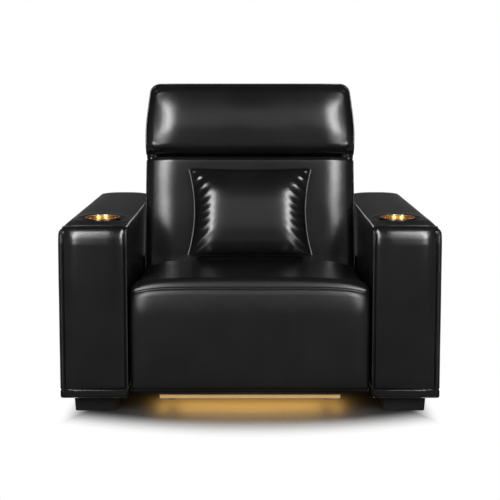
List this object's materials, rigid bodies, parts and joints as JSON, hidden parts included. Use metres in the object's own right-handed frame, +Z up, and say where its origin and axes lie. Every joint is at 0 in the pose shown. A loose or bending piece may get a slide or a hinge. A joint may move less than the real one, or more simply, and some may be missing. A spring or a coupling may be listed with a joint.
{
  "type": "power cinema recliner seat",
  "caption": "Black leather cinema recliner with wide cup-holder arms, hinged legrest, reclining back, tilting headrest, lumbar pillow and an amber light bar.",
  "frame": {"origin": "on the floor under the middle of the seat, at the bottom centre of the bounding box", "axes": "+Z up, the sitter faces -Y, +X is the sitter's left"},
  "size_m": [1.12, 0.86, 0.9656],
  "materials": {
    "leather": "semi-gloss black leather, fine grain",
    "shell_leather": "semi-gloss black leather over board",
    "plywood": "bare plywood",
    "foot_black": "black, satin",
    "cup_brass": "polished gold tone",
    "cup_steel": "dark polished steel",
    "frame_black": "black powder coat",
    "spring_steel": "oiled spring wire",
    "zinc_steel": "zinc plated",
    "rod_steel": "ground and plated",
    "motor_plastic": "moulded, fine texture",
    "switch_plastic": "moulded, satin",
    "button_plastic": "moulded, soft gloss",
    "led_aluminium": "anodised",
    "led_light": "milky diffuser, lit warm amber"
  },
  "bodies": {
    "base": {"right_arm_frame": "plywood", "left_arm_frame": "plywood", "right_arm_cover": "leather", "left_arm_cover": "leather", "front_right_foot": "foot_black", "front_left_foot": "foot_black", "rear_right_foot": "foot_black", "rear_left_foot": "foot_black", "right_cup_liner": "cup_brass", "left_cup_liner": "cup_brass", "right_cup_bezel": "cup_steel", "left_cup_bezel": "cup_steel", "front_cross_tube": "frame_black", "rear_cross_tube": "frame_black", "motor_pins": "zinc_steel", "right_side_plate": "frame_black", "left_side_plate": "frame_black", "legrest_pins": "zinc_steel", "back_pins": "zinc_steel", "seat_frame": "frame_black", "seat_springs": "spring_steel", "seat_cushion": "leather", "rear_panel": "shell_leather", "power_inlet": "switch_plastic", "control_box": "motor_plastic", "switch_housing": "switch_plastic", "led_channel": "led_aluminium", "led_diffuser": "led_light", "led_hangers": "frame_black", "frame_bolts": "zinc_steel"},
    "legrest": {"legrest_board": "plywood", "legrest_pad": "leather", "right_legrest_arm": "frame_black", "left_legrest_arm": "frame_black", "legrest_lug": "frame_black"},
    "back": {"back_cushion": "leather", "right_back_upright": "frame_black", "left_back_upright": "frame_black", "back_lower_rail": "frame_black", "back_upper_rail": "frame_black", "back_shell": "shell_leather", "headrest_brackets": "frame_black", "headrest_pins": "zinc_steel", "headrest_motor_pin": "zinc_steel"},
    "headrest": {"headrest_frame": "frame_black", "headrest_cushion": "leather", "headrest_shell": "shell_leather"},
    "pillow": {"lumbar_pillow": "leather"},
    "legrest_motor": {"legrest_motor": "motor_plastic"},
    "legrest_rod": {"legrest_rod": "rod_steel"},
    "recline_motor": {"recline_motor": "motor_plastic"},
    "recline_rod": {"recline_rod": "rod_steel"},
    "headrest_motor": {"headrest_motor": "motor_plastic"},
    "headrest_rod": {"headrest_rod": "rod_steel"},
    "recline_back_button": {"recline_back_button": "button_plastic"},
    "recline_forward_button": {"recline_forward_button": "button_plastic"},
    "headrest_back_button": {"headrest_back_button": "button_plastic"},
    "headrest_forward_button": {"headrest_forward_button": "button_plastic"}
  },
  "joints": [
    {"name": "legrest_hinge", "type": "hinge", "parent": "base", "child": "legrest", "pos_m": [0, -0.385, 0.355], "axis": [-1, 0, 0], "range_deg": [0, 85]},
    {"name": "back_recline", "type": "hinge", "parent": "base", "child": "back", "pos_m": [0, 0.154, 0.285], "axis": [-1, 0, 0], "range_deg": [0, 40]},
    {"name": "headrest_tilt", "type": "hinge", "parent": "back", "child": "headrest", "pos_m": [0, 0.12723, 0.7671], "axis": [1, 0, 0], "range_deg": [0, 35]},
    {"name": "pillow_lift_off", "type": "slide", "parent": "back", "child": "pillow", "axis": [0, -0.8, 0.6], "range_m": [0, 0.3]},
    {"name": "legrest_motor_swing", "type": "hinge", "parent": "base", "child": "legrest_motor", "pos_m": [0, 0.075, 0.16], "axis": [1, 0, 0], "range_deg": [-0.05, 0.7995]},
    {"name": "legrest_rod_stroke", "type": "slide", "parent": "legrest_motor", "child": "legrest_rod", "axis": [0, -0.9644, 0.2645], "range_m": [-0.0005, 0.13001]},
    {"name": "recline_motor_swing", "type": "hinge", "parent": "base", "child": "recline_motor", "pos_m": [0, -0.232, 0.205], "axis": [1, 0, 0], "range_deg": [-0.05, 2.4]},
    {"name": "recline_rod_stroke", "type": "slide", "parent": "recline_motor", "child": "recline_rod", "axis": [0, 0.9993, -0.0379], "range_m": [-0.06482, 0.0005]},
    {"name": "headrest_motor_swing", "type": "hinge", "parent": "back", "child": "headrest_motor", "pos_m": [0, 0.17213, 0.36922], "axis": [1, 0, 0], "range_deg": [-0.05, 1.57]},
    {"name": "headrest_rod_stroke", "type": "slide", "parent": "headrest_motor", "child": "headrest_rod", "axis": [0, 0.1908, 0.9816], "range_m": [-0.0005, 0.07346]},
    {"name": "recline_back_button_press", "type": "slide", "parent": "base", "child": "recline_back_button", "axis": [1, 0, 0], "range_m": [0, 0.0025], "stiffness_N_per_m": 900, "springref_m": -0.0008},
    {"name": "recline_forward_button_press", "type": "slide", "parent": "base", "child": "recline_forward_button", "axis": [1, 0, 0], "range_m": [0, 0.0025], "stiffness_N_per_m": 900, "springref_m": -0.0008},
    {"name": "headrest_back_button_press", "type": "slide", "parent": "base", "child": "headrest_back_button", "axis": [1, 0, 0], "range_m": [0, 0.0025], "stiffness_N_per_m": 900, "springref_m": -0.0008},
    {"name": "headrest_forward_button_press", "type": "slide", "parent": "base", "child": "headrest_forward_button", "axis": [1, 0, 0], "range_m": [0, 0.0025], "stiffness_N_per_m": 900, "springref_m": -0.0008}
  ],
  "couplings": [
    {"joint": "legrest_motor_swing", "follows": "legrest_hinge", "ratio": 0.0086449},
    {"joint": "legrest_rod_stroke", "follows": "legrest_hinge", "m_per_rad": 0.086437},
    {"joint": "recline_motor_swing", "follows": "back_recline", "ratio": 0.057668},
    {"joint": "recline_rod_stroke", "follows": "back_recline", "m_per_rad": -0.091226},
    {"joint": "headrest_motor_swing", "follows": "headrest_tilt", "ratio": 0.0427},
    {"joint": "headrest_rod_stroke", "follows": "headrest_tilt", "m_per_rad": 0.11825}
  ]
}
